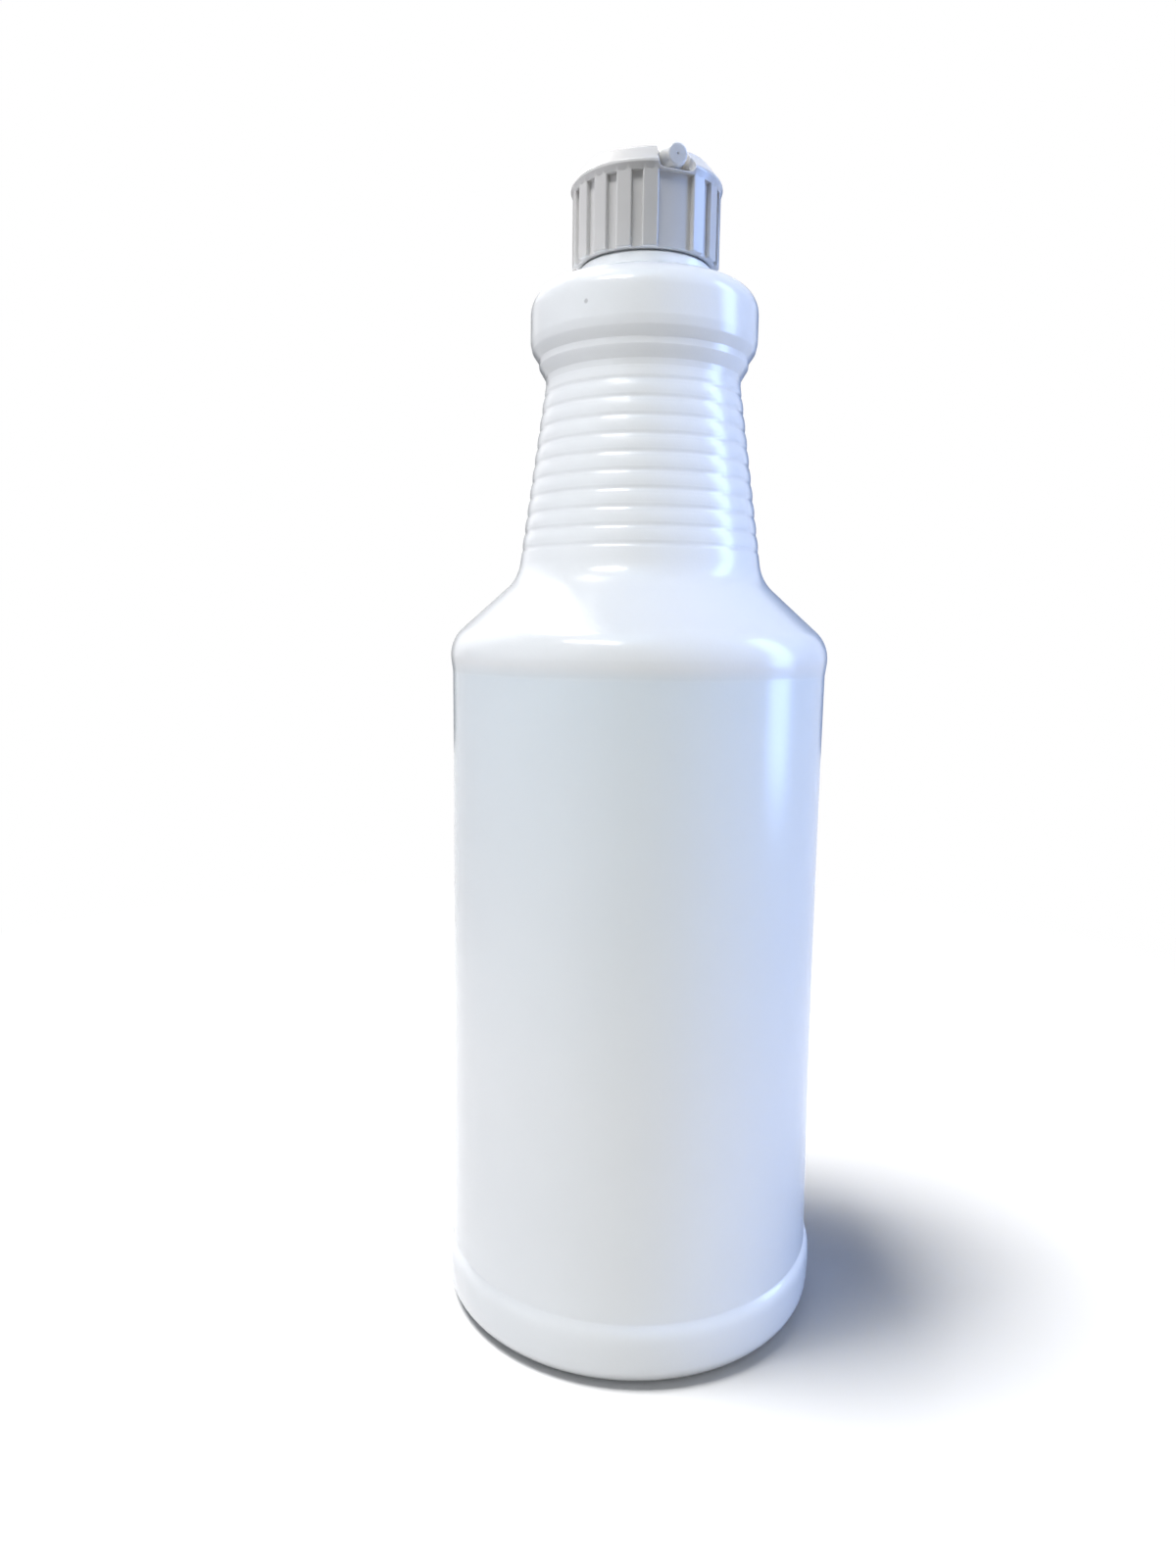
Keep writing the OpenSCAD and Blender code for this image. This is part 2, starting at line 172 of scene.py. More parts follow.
class CapSizes(bpy.types.PropertyGroup):
    """Sizes of the closure, its seal and its spout."""

    ribs: size("Ribs", "Diameter over the ribs", 31.9)
    rib_depth: size("Rib depth", "Depth of the grooves between ribs", 0.85)
    rib_places: IntProperty(name="Rib places", description="Rib places, one left out under the spout",
                            default=18)
    rib_width: size("Rib width", "Width of one rib", 3.25)
    rib_round: size("Rib radius", "Radius along a rib's outer edges", 0.3)
    flange: size("Flange", "Thickness of the flange over the ribs", 1.3)
    flange_width: size("Flange diameter", "Diameter of the flange's edge", 32.76)
    rim: size("Rim", "Height of the flange's upright edge", 0.6)
    bevel: size("Bevel", "Height of the bevel from the flange to the crown", 3.6)
    crown: size("Crown", "Diameter of the crown", 27.2)
    crown_height: size("Crown height", "Height of the crown in its middle above its edge", 2.8)
    crown_side: size("Crown side", "Height of the crown's small upright side", 0.5)
    crown_wall: size("Crown wall", "Wall of the crown over its cored underside", 1.3)
    thread_room: size("Thread room", "Room between the cap's bore and the bottle's thread", 0.25)
    crest_room: size("Crest room", "Room between the cap's thread and the finish", 0.35)
    thread_width: size("Cap thread", "Width of the cap's thread at its root", 1.9)
    seal_hole: size("Seal bore", "Inner diameter of the sealing ring", 19.8)
    seal_room: size("Seal room", "Room round the sealing ring", 0.55)
    notch: size("Notch", "Width of the finger notch at the slot's outer end", 8.2)
    notch_length: size("Notch length", "How far the notch reaches in from the rim", 3)
    notch_fall: FloatProperty(name="Notch fall", description="Fall of the notch's floor, in degrees",
                              default=22)
    notch_round: size("Notch radius", "Radius along the notch's lower corners", 1.2)
    boss: size("Boss", "Diameter of the boss under the deck", 9)
    boss_height: size("Boss depth", "Depth of that boss", 1.5)
    spout: size("Spout", "Distance from the pivot to the tip", 15.9)
    tip: size("Tip", "Diameter of the spout at its tip", 4.4)
    tip_bevel: size("Tip bevel", "Rounding round the tip", 0.3)
    tip_neck: size("Tip neck", "Diameter where the tip begins to round off", 5.7)
    tip_length: size("Tip length", "Length of that rounded stretch", 2.6)
    drum: size("Drum", "Diameter of the drum that turns on the pivot", 7.5)
    drum_width: size("Drum width", "Width of the drum and of the flat sides", 6.4)
    pin: size("Pin", "Diameter of the pivot pins", 2.6)
    pin_length: size("Pin length", "Length of one pivot pin", 1.2)
    droop: FloatProperty(name="Droop", description="Slope of the folded spout, in degrees", default=6)
    channel: size("Channel", "Diameter of the channel", 1.8)
    orifice: size("Orifice", "Diameter of the hole in the tip", 0.4)
    seat: size("Seat", "Diameter of the raised seat under the drum", 4)
    seat_height: size("Seat height", "Height from the slot's floor up to the drum", 0.5)
    side_room: size("Side room", "Room on each side of the drum", 0.25)
    relief: size("Relief", "Room between the spout's underside and the seat", 0.65)


class FinishColours(bpy.types.PropertyGroup):
    """Colours of the plastics."""

    body: tint("Bottle", "Milky plastic of the bottle", (0.84, 0.87, 0.90))
    closure: tint("Cap", "White plastic of the cap", (0.68, 0.67, 0.66))
    nozzle: tint("Spout", "White plastic of the spout", (0.84, 0.84, 0.83))
    seal: tint("Seal", "Foam of the sealing ring", (0.72, 0.72, 0.70))
    # Painted shade: a darker, bluer tone laid over the upper panel to stand in for the dimmer light there
    upper_shade: tint("Upper panel shade", "Painted darker, bluer shade over the upper panel", (0.72, 0.79, 0.86))


class StageSettings(bpy.types.PropertyGroup):
    """The camera, the floor and the lamps."""

    lens: FloatProperty(name="Lens", description="Focal length on a 36 mm long side", default=23.83)
    distance: FloatProperty(name="Distance", description="From the bottle's axis to the camera",
                            default=0.24112)
    height: FloatProperty(name="Height", description="Height of the camera", default=0.15786)
    pitch: FloatProperty(name="Pitch", description="How far the camera looks down", default=0.14641,
                         subtype="ANGLE")
    roll: FloatProperty(name="Roll", description="Roll of the camera", default=0.01259, subtype="ANGLE")
    yaw: FloatProperty(name="Yaw", description="Turn of the camera off the axis", default=0.04595,
                       subtype="ANGLE")
    side: FloatProperty(name="Side", description="Turn of the camera away from the spout",
                        default=math.radians(23), subtype="ANGLE")
    ambient: FloatProperty(name="Ambient", description="Strength of the room's light", default=0.12)


# Outlines

def mix(a, b, t):
    return a + (b - a) * t


def corner(a, b, c):
    """Points of the arc that rounds b between a and c, where b is (r, z, radius)."""
    p, radius = Vector(b[:2]), b[2]
    u, v = (Vector(a[:2]) - p).normalized(), (Vector(c[:2]) - p).normalized()
    half = math.acos(max(-1, min(1, u.dot(v)))) / 2
    if radius == 0 or half > math.radians(89.9):
        return [tuple(p)]
    middle = p + (u + v).normalized() * radius / math.sin(half)
    start = p + u * radius / math.tan(half) - middle
    turn = math.pi - 2 * half
    side = math.copysign(1, start.x * (p - middle).y - start.y * (p - middle).x)
    steps = max(3, math.ceil(math.degrees(turn) / ARC_STEP))
    return [tuple(middle + Matrix.Rotation(side * turn * i / steps, 2) @ start) for i in range(steps + 1)]


def rounded(points):
    """The outline with each inner corner (r, z, radius) rounded."""
    inner = [p for i in range(1, len(points) - 1) for p in corner(points[i - 1], points[i], points[i + 1])]
    return [tuple(points[0][:2]), *inner, tuple(points[-1][:2])]


def sink(wall, slope):
    """How much lower a sloping wall has its inner corner; the slope is in radians."""
    return wall * (1 - math.sin(slope)) / math.cos(slope)


class BottleOutline:
    """Half outlines of the bottle in millimetres, from its sizes."""

    # Radii of soft and crisp corners, of the ledge's two bends, and of the crease over the heel
    SOFT, CRISP = 2.2, 0.3
    LEDGE_LOW, LEDGE_TOP = 4, 10
    CREASE = 1.0
    # Radius under the collar's side
    LIP_ROUND = 1.5
    # How far in and up the slope inside the foot reaches
    FOOT_SLOPE = (3, 1.2)
    # Height where the heel's rounding ends, in heel radii
    HEEL_START = 1.1
    # The panel's points: the first one's share of its height, the step to the next, and their number
    PANEL_POINTS = (0.08, 0.07, 13)

    def __init__(self, s):
        self.s = s
        self.panel = s.heel_height + s.heel_step
        self.ledge = self.panel + s.panel_height
        self.shoulder = self.ledge + s.bead_height
        self.neck = self.shoulder + s.shoulder_height
        self.under = self.neck + s.neck_height
        self.collar = self.under + s.collar_under
        slope = math.radians(s.collar_slope)
        self.slope = slope
        self.corner = self.collar + s.collar_side + s.collar_round * math.tan(math.pi / 4 - slope / 2)
        self.bead = self.corner + (s.collar - s.bead) / 2 * math.tan(slope)
        self.finish = self.bead + s.bead_side
        self.lip = LIP / MM

    def panel_r(self, t):
        return mix(self.s.panel_low, self.s.panel_top, t) / 2 - self.s.panel_bow * 4 * t * (1 - t)

    def neck_r(self, z):
        return mix(self.s.neck_low, self.s.neck_top, (z - self.neck) / self.s.neck_height) / 2

    def heel_r(self, z):
        """Radius of the heel, widest at its height and drawn in to the foot and to the panel."""
        s = self.s
        if z < s.heel_height:
            return s.heel / 2 - s.heel_draft * (1 - z / s.heel_height) ** 2
        return s.heel / 2 - (s.heel / 2 - self.panel_r(0)) * ((z - s.heel_height) / s.heel_step) ** 3

    def heel_heights(self, steps=14):
        low = self.s.heel_round * self.HEEL_START
        return [mix(low, self.panel, i / steps) for i in range(steps)]

    def lower(self, w):
        s, ledge = self.s, self.ledge
        drop = sink(w, math.atan(2 * s.shoulder_height / (s.shoulder - s.neck_low)))
        first, step, count = self.PANEL_POINTS
        panel = [(self.panel_r(t) - w, self.panel + s.panel_height * t, 0)
                 for t in [first + step * i for i in range(count)]]
        return [(0, s.dish + w, 0),
                (s.foot / 2 - self.FOOT_SLOPE[0], self.FOOT_SLOPE[1] + w, self.SOFT),
                (s.foot / 2, w, self.SOFT),
                (s.heel / 2 - s.heel_draft - w, w, s.heel_round - w),
                *[(self.heel_r(z) - w, z, 0) for z in self.heel_heights()],
                (self.panel_r(0) - w, self.panel, self.CREASE),
                *panel,
                (self.panel_r(1) - w, ledge, self.LEDGE_LOW),
                (s.shoulder / 2 - w, ledge + s.ledge, self.LEDGE_TOP),
                (s.shoulder / 2 - w, self.shoulder - drop, s.shoulder_round - w),
                (s.neck_low / 2 - w, self.neck - drop, s.neck_round + w)]

    def upper(self, w, top):
        s, drop = self.s, sink(w, self.slope)
        steps = []
        for i in (0, 1):
            r = self.neck_r(self.under + s.step_low) + i * s.step_out - w
            z = self.under + s.step_low + i * s.step_pitch
            steps += [(r, z, self.CRISP), (r + s.step_width, z + s.step_height, self.CRISP)]
        side = s.collar / 2 - w
        return [*steps,
                (side - s.lip_in, self.collar - s.lip_height, self.LIP_ROUND),
                (side, self.collar, self.SOFT),
                (side, self.corner - drop, s.collar_round - w),
                (top, self.corner - drop + (side - top) * math.tan(self.slope), self.CRISP)]

    def grip(self, cuts=12, swells=8):
        """Soft grooves with a shallow swell between two of them."""
        s = self.s
        pitch = (s.neck_height - s.groove_first - s.groove_last) / (s.grooves - 1)
        points = []
        for i in range(s.grooves):
            z = self.neck + s.groove_first + i * pitch
            for k in range(cuts):
                y = z + s.groove_width * (k / cuts - 0.5)
                dip = s.groove_depth * math.cos(math.pi * (k / cuts - 0.5)) ** 2
                points.append((self.neck_r(y) - dip, y))
            rest = pitch - s.groove_width
            for k in range(swells if i < s.grooves - 1 else 1):
                t = k / swells
                y = z + s.groove_width / 2 + rest * t
                points.append((self.neck_r(y) + s.swell * 4 * t * (1 - t), y))
        return points

    def loop(self):
        """Closed way round the wall: up the outside, over the lip and down the inside."""
        s, crisp = self.s, self.CRISP
        grip = self.grip()
        top = [(s.bead / 2, self.finish, crisp), (s.finish / 2, self.finish, crisp),
               (s.finish / 2, self.lip, crisp), (s.mouth / 2, self.lip, 0)]
        outside = (rounded([*self.lower(0), (*grip[0], 0)]) + grip[1:]
                   + rounded([(self.neck_r(self.under), self.under, 0), *self.upper(0, s.bead / 2), *top]))
        inside = rounded([*self.lower(s.wall), *self.upper(s.wall, s.mouth / 2),
                          (s.mouth / 2, self.lip - crisp, 0)])
        return outside + inside[::-1]


def cap_loop(c, deck, skirt, bore):
    """Closed way round the cap without its ribs: up the outside to the apex, then the deck and the bore."""
    flange = deck + c.flange
    crown = flange + c.bevel
    skirt_r = c.ribs / 2 - c.rib_depth
    outside = rounded([(bore, skirt, 0), (skirt_r, skirt, 0.15), (skirt_r, deck, 0.15),
                       (c.ribs / 2, deck, 0.1), (c.flange_width / 2, flange, 0.1),
                       (c.flange_width / 2 - 0.1, flange + c.rim, 0.6),
                       (c.crown / 2 + 0.15, crown, 0.12), (c.crown / 2, crown, 0.06),
                       (c.crown / 2 - 0.1, crown + c.crown_side, 0.6), (0, crown + c.crown_height, 0)])
    return outside + [(0, deck), (bore, deck), (bore, skirt)]


# Geometry Nodes

class Nodes:
    """A geometry node tree, built by short calls."""

    def __init__(self, name, inputs):
        self.tree = bpy.data.node_groups.new(name, "GeometryNodeTree")
        face = self.tree.interface
        face.new_socket("Geometry", in_out="INPUT", socket_type="NodeSocketGeometry")
        for label, kind in inputs.items():
            face.new_socket(label, in_out="INPUT", socket_type=kind)
        face.new_socket("Geometry", in_out="OUTPUT", socket_type="NodeSocketGeometry")
        self.given = self.tree.nodes.new("NodeGroupInput").outputs

    def add(self, kind, *values, **settings):
        """A node with its settings, and its sockets set or linked in order; None leaves one alone."""
        node = self.tree.nodes.new(kind)
        for key, value in settings.items():
            setattr(node, key, value)
        sockets = [s for s in node.inputs if s.enabled]
        for socket, value in zip(sockets, values):
            self.put(socket, value)
        return [s for s in node.outputs if s.enabled][0]

    def put(self, socket, value):
        if isinstance(value, bpy.types.NodeSocket):
            self.tree.links.new(value, socket)
        elif value is not None:
            socket.default_value = value

    def maths(self, operation, *values):
        return self.add("ShaderNodeMath", *values, operation=operation)

    def finish(self, geometry, material):
        """Ends the tree in Realize Instances and Set Material."""
        real = self.add("GeometryNodeRealizeInstances", geometry)
        done = self.add("GeometryNodeSetMaterial", real, None, material)
        self.tree.links.new(done, self.tree.nodes.new("NodeGroupOutput").inputs[0])


def turning_tree(material):
    """Turns an outline about Z into a surface. With a rise it becomes a helix, and fade draws in its ends."""
    n = Nodes("turned_outline", {"Outline Points": "NodeSocketInt", "Segments": "NodeSocketInt",
                                 "Sweep": "NodeSocketFloat", "Rise": "NodeSocketFloat",
                                 "Root": "NodeSocketFloat", "Fade": "NodeSocketFloat"})
    outline, count, segments, sweep, rise, root, fade = [n.given[i] for i in range(7)]
    columns = n.maths("ADD", segments, 1)
    grid = n.add("GeometryNodeMeshGrid", 1, 1, columns, count)
    index = n.add("GeometryNodeInputIndex")
    column = n.maths("FLOOR", n.maths("DIVIDE", n.maths("ADD", index, 0.5), count))
    row = n.maths("ROUND", n.maths("SUBTRACT", index, n.maths("MULTIPLY", column, count)))
    spot = n.add("GeometryNodeSampleIndex", outline, n.add("GeometryNodeInputPosition"), row,
                 data_type="FLOAT_VECTOR")
    share = n.maths("DIVIDE", column, segments)
    angle = n.maths("MULTIPLY", share, sweep)
    end = n.maths("MINIMUM", angle, n.maths("SUBTRACT", sweep, angle))
    full = n.maths("MINIMUM", n.maths("DIVIDE", n.maths("ADD", end, 1e-6), fade), 1)
    parts = n.tree.nodes.new("ShaderNodeSeparateXYZ")
    n.put(parts.inputs[0], spot)
    reach = n.maths("ADD", root, n.maths("MULTIPLY", n.maths("SUBTRACT", parts.outputs[0], root), full))
    height = n.maths("ADD", parts.outputs[2], n.maths("MULTIPLY", share, rise))
    place = n.add("ShaderNodeCombineXYZ", n.maths("MULTIPLY", reach, n.maths("COSINE", angle)),
                  n.maths("MULTIPLY", reach, n.maths("SINE", angle)), height)
    moved = n.add("GeometryNodeSetPosition", grid, None, place)
    merged = n.add("GeometryNodeMergeByDistance", moved)
    merged.node.inputs["Distance"].default_value = 1e-7
    n.finish(merged, material)
    return n.tree


def ring_tree(material, part):
    """Copies of one piece round Z, the first place left out."""
    n = Nodes("pieces_in_a_ring", {"Places": "NodeSocketInt"})
    places = n.given[1]
    line = n.add("GeometryNodeMeshLine", places, None, (0, 0, 0), (0, 0, 0))
    kept = n.add("GeometryNodeDeleteGeometry", line,
                 n.add("FunctionNodeCompare", n.add("GeometryNodeInputIndex"), 0.5, operation="LESS_THAN"))
    turn = n.maths("DIVIDE", n.maths("MULTIPLY", n.add("GeometryNodeInputIndex"), math.tau), places)
    # The first point is deleted, so each index that is left lies one place further on
    angle = n.maths("ADD", turn, n.maths("DIVIDE", math.tau, places))
    spin = n.add("ShaderNodeCombineXYZ", 0, 0, n.maths("SUBTRACT", angle, math.pi / 2))
    copies = n.tree.nodes.new("GeometryNodeInstanceOnPoints")
    n.put(copies.inputs["Points"], kept)
    source = n.tree.nodes.new("GeometryNodeObjectInfo")
    source.inputs["Object"].default_value = part
    n.put(copies.inputs["Instance"], source.outputs["Geometry"])
    n.put(copies.inputs["Rotation"], spin)
    n.finish(copies.outputs[0], material)
    return n.tree


def realised(name, mesh, tree, **inputs):
    """The plain mesh that a node tree makes of a start mesh, with its inputs set by name."""
    start = bpy.data.objects.new(name + "_start", mesh)
    bpy.context.collection.objects.link(start)
    modifier = start.modifiers.new("Shape", "NODES")
    modifier.node_group = tree
    for item in tree.interface.items_tree:
        if item.in_out == "INPUT" and item.name in inputs:
            modifier[item.identifier] = inputs[item.name]
    bpy.context.view_layer.update()
    graph = bpy.context.evaluated_depsgraph_get()
    made = bpy.data.meshes.new_from_object(start.evaluated_get(graph))
    made.name = name
    start.modifiers.clear()
    bpy.data.objects.remove(start)
    return made


def turned(name, points, material, segments=144, sweep=math.tau, rise=0.0, root=0.0, fade=1e-9):
    """A mesh turned about Z from (r, z) points in millimetres; the outline is a closed way round."""
    outline = bpy.data.meshes.new(name + "_outline")
    outline.from_pydata([(r * MM, 0, z * MM) for r, z in points], [], [])
    mesh = realised(name, outline, turning_tree(material), Segments=segments, Sweep=sweep,
                    Rise=rise * MM, Root=root * MM, Fade=fade, **{"Outline Points": len(points)})
    work = bmesh.new()
    work.from_mesh(mesh)
    bmesh.ops.dissolve_degenerate(work, dist=1e-7, edges=work.edges)
    bmesh.ops.holes_fill(work, edges=[e for e in work.edges if e.is_boundary])
    bmesh.ops.recalc_face_normals(work, faces=work.faces)
    work.to_mesh(mesh)
    work.free()
    return mesh


def piece(name, mesh, material, edge=35):
    """An object at the origin with one material, smooth up to the angle edge."""
    obj = bpy.data.objects.new(name, mesh)
    bpy.context.collection.objects.link(obj)
    mesh.materials.clear()
    mesh.materials.append(material)
    for face in mesh.polygons:
        face.use_smooth = True
        face.material_index = 0
    mesh.set_sharp_from_angle(angle=math.radians(edge))
    return obj


def even_shading(obj):
    """Lets the large faces set the normals, so that flats next to small roundings look flat."""
    modifier = obj.modifiers.new("Shading", "WEIGHTED_NORMAL")
    modifier.keep_sharp = True
    bpy.context.view_layer.update()
    graph = bpy.context.evaluated_depsgraph_get()
    made = bpy.data.meshes.new_from_object(obj.evaluated_get(graph))
    obj.modifiers.clear()
    obj.data = made


def box_mesh(name, low, high, bevel=0.0):
    """A box between two corners in millimetres, its edges rounded."""
    mesh = bpy.data.meshes.new(name)
    work = bmesh.new()
    bmesh.ops.create_cube(work, size=1)
    low, high = Vector(low) * MM, Vector(high) * MM
    for v in work.verts:
        v.co = Vector(mix(low[i], high[i], v.co[i] + 0.5) for i in range(3))
    if bevel:
        bmesh.ops.bevel(work, geom=work.edges, offset=bevel * MM, segments=3, profile=0.5, affect="EDGES")
    work.to_mesh(mesh)
    work.free()
    return mesh


def rod_mesh(name, radius, low, high, axis="Z", rim=0.0):
    """A round bar between two places along the axis Z or X, in millimetres, its rims rounded."""
    mesh = bpy.data.meshes.new(name)
    work = bmesh.new()
    bmesh.ops.create_cone(work, cap_ends=True, segments=64, radius1=radius * MM, radius2=radius * MM,
                          depth=(high - low) * MM)
    if rim:
        ends = [e for e in work.edges if abs(e.verts[0].co.z - e.verts[1].co.z) < 1e-9]
        bmesh.ops.bevel(work, geom=ends, offset=rim * MM, segments=4, profile=0.5, affect="EDGES")
    bmesh.ops.translate(work, verts=work.verts, vec=(0, 0, (low + high) / 2 * MM))
    if axis == "X":
        bmesh.ops.rotate(work, verts=work.verts, matrix=Matrix.Rotation(math.pi / 2, 3, "Y"))
    work.to_mesh(mesh)
    work.free()
    return mesh


def carved(obj, mesh, operation="DIFFERENCE", at=Matrix.Identity(4)):
    """Joins a mesh to the object or cuts it away, and leaves a plain mesh behind."""
    mesh.transform(at)
    tool = bpy.data.objects.new(mesh.name + "_tool", mesh)
    bpy.context.collection.objects.link(tool)
    modifier = obj.modifiers.new("Carve", "BOOLEAN")
    modifier.operation = operation
    modifier.solver = "EXACT"
    modifier.object = tool
    bpy.context.view_layer.update()
    graph = bpy.context.evaluated_depsgraph_get()
    made = bpy.data.meshes.new_from_object(obj.evaluated_get(graph))
    obj.modifiers.clear()
    obj.data = made
    bpy.data.objects.remove(tool)


# Materials

class Value:
    """A number socket on which sums can be written."""

    def __init__(self, tree, socket):
        self.tree, self.socket = tree, socket

    def node(self, operation, other=None, flip=False, clamp=False):
        n = self.tree.nodes.new("ShaderNodeMath")
        n.operation, n.use_clamp = operation, clamp
        pair = [self, other][::-1] if flip else [self, other]
        for socket, value in zip(n.inputs, pair):
            if isinstance(value, Value):
                self.tree.links.new(value.socket, socket)
            elif value is not None:
                socket.default_value = value
        return Value(self.tree, n.outputs[0])

    def __add__(self, other):
        return self.node("ADD", other)

    def __sub__(self, other):
        return self.node("SUBTRACT", other)

    def __rsub__(self, other):
        return self.node("SUBTRACT", other, flip=True)

    def __mul__(self, other):
        return self.node("MULTIPLY", other)

    __radd__, __rmul__ = __add__, __mul__

    def ramp(self, low, high):
        """0 at low and 1 at high, clamped between."""
        return self.node("SUBTRACT", low).node("MULTIPLY", 1 / (high - low), clamp=True)


class Plastic:
    """A material tree round one Principled shader."""

    def __init__(self, name, **constants):
        self.material = bpy.data.materials.new(name)
        self.material.use_nodes = True
        self.tree = self.material.node_tree
        self.shader = self.tree.nodes["Principled BSDF"]
        for key, value in constants.items():
            self.shader.inputs[key.replace("_", " ")].default_value = value
        self.point = self.tree.nodes.new("ShaderNodeTexCoord").outputs["Object"]

    def add(self, kind, settings=(), out=0, **sockets):
        """Any node: settings first, then its sockets set or linked by name."""
        node = self.tree.nodes.new(kind)
        for key, value in dict(settings).items():
            setattr(node, key, value)
        for key, value in sockets.items():
            self.put(node.inputs[key.replace("_", " ")], value)
        return node.outputs[out]

    def put(self, socket, value):
        value = value.socket if isinstance(value, Value) else value
        if isinstance(value, bpy.types.NodeSocket):
            self.tree.links.new(value, socket)
        else:
            socket.default_value = value

    def noise(self, grain, detail=2.0, stretch=(1, 1, 1)):
        """Noise whose grain is a size in millimetres; stretch squeezes it along an axis."""
        placed = self.add("ShaderNodeMapping", Vector=self.point,
                          Scale=tuple(1 / (grain * MM * s) for s in stretch))
        return Value(self.tree, self.add("ShaderNodeTexNoise", Vector=placed, Scale=1.0, Detail=detail))

    def axis(self, letter):
        """One coordinate in millimetres."""
        parts = self.tree.nodes.new("ShaderNodeSeparateXYZ")
        self.tree.links.new(self.point, parts.inputs[0])
        return Value(self.tree, parts.outputs["XYZ".index(letter)]) * (1 / MM)

    def distance(self, spot):
        """Distance to a point given in millimetres, in millimetres."""
        away = self.add("ShaderNodeVectorMath", {"operation": "DISTANCE"}, out=1)
        node = away.node
        self.tree.links.new(self.point, node.inputs[0])
        node.inputs[1].default_value = [v * MM for v in spot]
        return Value(self.tree, away) * (1 / MM)

    def blend(self, low, high, share):
        """A colour between two others."""
        node = self.tree.nodes.new("ShaderNodeMix")
        node.data_type = "RGBA"
        for socket, value in ((node.inputs["Factor"], share), (node.inputs[6], low), (node.inputs[7], high)):
            self.put(socket, (*value, 1) if isinstance(value, tuple) else value)
        return node.outputs[2]

    def relief(self, height, depth):
        """Bump from a height between 0 and 1, its depth in millimetres."""
        self.put(self.shader.inputs["Normal"],
                 self.add("ShaderNodeBump", Height=height, Distance=depth * MM, Strength=1.0))


def colour(vector, scale):
    """The colour made lighter or darker by a factor, at most white."""
    return tuple(min(1.0, v * scale) for v in vector)


def body_plastic(colours):
    """Milky blown plastic: cloudy, fine-grained, with faint flow lines, a painted darker, bluer shade over
    the upper panel and one speck.
    """
    m = Plastic("milky_blown_plastic", Subsurface_Weight=1.0, Subsurface_Radius=(1.0, 1.0, 1.0),
                Subsurface_Scale=0.002, IOR=1.54)
    cloud, grain = m.noise(26, 3), m.noise(0.55, 2)
    flow = m.noise(5, 2, (1, 1, 9))
    base = m.blend(colour(colours.body, 0.965), colour(colours.body, 1.02), cloud)
    speck = m.distance(SPECK).ramp(*SPECK_RADII) * SPECK_STRENGTH
    height = m.axis("Z")
    # Painted shade: the upper panel is tinted darker and bluer, fading in from 60 mm and out again at the
    # shoulder bead
    upper_shade = height.ramp(SHADE_START, SHADE_FULL) * (1 - height.ramp(SHADE_FULL, SHADE_END))
    base = m.blend(base, colours.upper_shade[:], upper_shade)
    m.put(m.shader.inputs["Base Color"], m.blend(base, (0.30, 0.29, 0.28), speck))
    m.put(m.shader.inputs["Roughness"], 0.15 + grain * 0.08 + cloud * 0.03)
    m.relief(grain * 0.35 + flow * 0.65, 0.035)
    return m.material


def cap_plastic(colours):
    """White moulded plastic, faintly cloudy and fine-grained."""
    m = Plastic("white_moulded_plastic", Subsurface_Weight=0.6, Subsurface_Radius=(1.0, 1.0, 1.0),
                Subsurface_Scale=0.0008, IOR=1.49)
    cloud, grain = m.noise(9, 3), m.noise(0.4, 2)
    base = m.blend(colour(colours.closure, 0.97), colour(colours.closure, 1.02), cloud)
    m.put(m.shader.inputs["Base Color"], base)
    m.put(m.shader.inputs["Roughness"], 0.20 + grain * 0.10)
    m.relief(grain, 0.012)
    return m.material


def spout_plastic(colours):
    """White moulded plastic, a little smoother than the cap's."""
    m = Plastic("white_spout_plastic", Subsurface_Weight=0.6, Subsurface_Radius=(1.0, 1.0, 1.0),
                Subsurface_Scale=0.0008, IOR=1.49)
    grain = m.noise(0.35, 2)
    base = m.blend(colour(colours.nozzle, 0.98), colour(colours.nozzle, 1.02), m.noise(6))
    m.put(m.shader.inputs["Base Color"], base)
    m.put(m.shader.inputs["Roughness"], 0.26 + grain * 0.1)
    m.relief(grain, 0.01)
    return m.material


def seal_foam(colours):
    """Fine closed foam."""
    m = Plastic("seal_foam", IOR=1.45)
    cells = m.noise(0.25, 3)
    base = m.blend(colour(colours.seal, 0.9), colour(colours.seal, 1.05), cells)
    m.put(m.shader.inputs["Base Color"], base)
    m.put(m.shader.inputs["Roughness"], 0.75 + cells * 0.15)
    m.relief(cells, 0.03)
    return m.material


# Operators

class MakeBottle(bpy.types.Operator):
    """Builds the blown bottle with its thread"""

    bl_idname = "spotting.bottle"
    bl_label = "Bottle"

    def execute(self, context):
        s = context.scene.bottle_sizes
        plastic = body_plastic(context.scene.finish_colours)
        outline = BottleOutline(s)
        shell = turned("bottle_shell", outline.loop(), plastic, segments=160)
        thread_z = outline.lip - s.thread_start - s.pitch * s.turns
        root, crest = s.finish / 2 - BITE, s.finish / 2 + s.thread
        # The crest's corners are cut back by these lengths in, up and down
        back, flank = 0.15, 0.1
        ridge = [(root, thread_z - s.thread_width / 2), (crest - back, thread_z - s.crest / 2 - flank),
                 (crest, thread_z - s.crest / 2 + back), (crest, thread_z + s.crest / 2 - back),
                 (crest - back, thread_z + s.crest / 2 + flank), (root, thread_z + s.thread_width / 2),
                 (root, thread_z - s.thread_width / 2)]
        thread = turned("bottle_thread", ridge, plastic, 90, s.turns * math.tau, s.pitch * s.turns, root,
                        THREAD_FADE)
        for obj in (piece("bottle_shell", shell, plastic), piece("bottle_thread", thread, plastic)):
            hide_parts("bottle")
            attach(obj, "bottle")
        return {"FINISHED"}


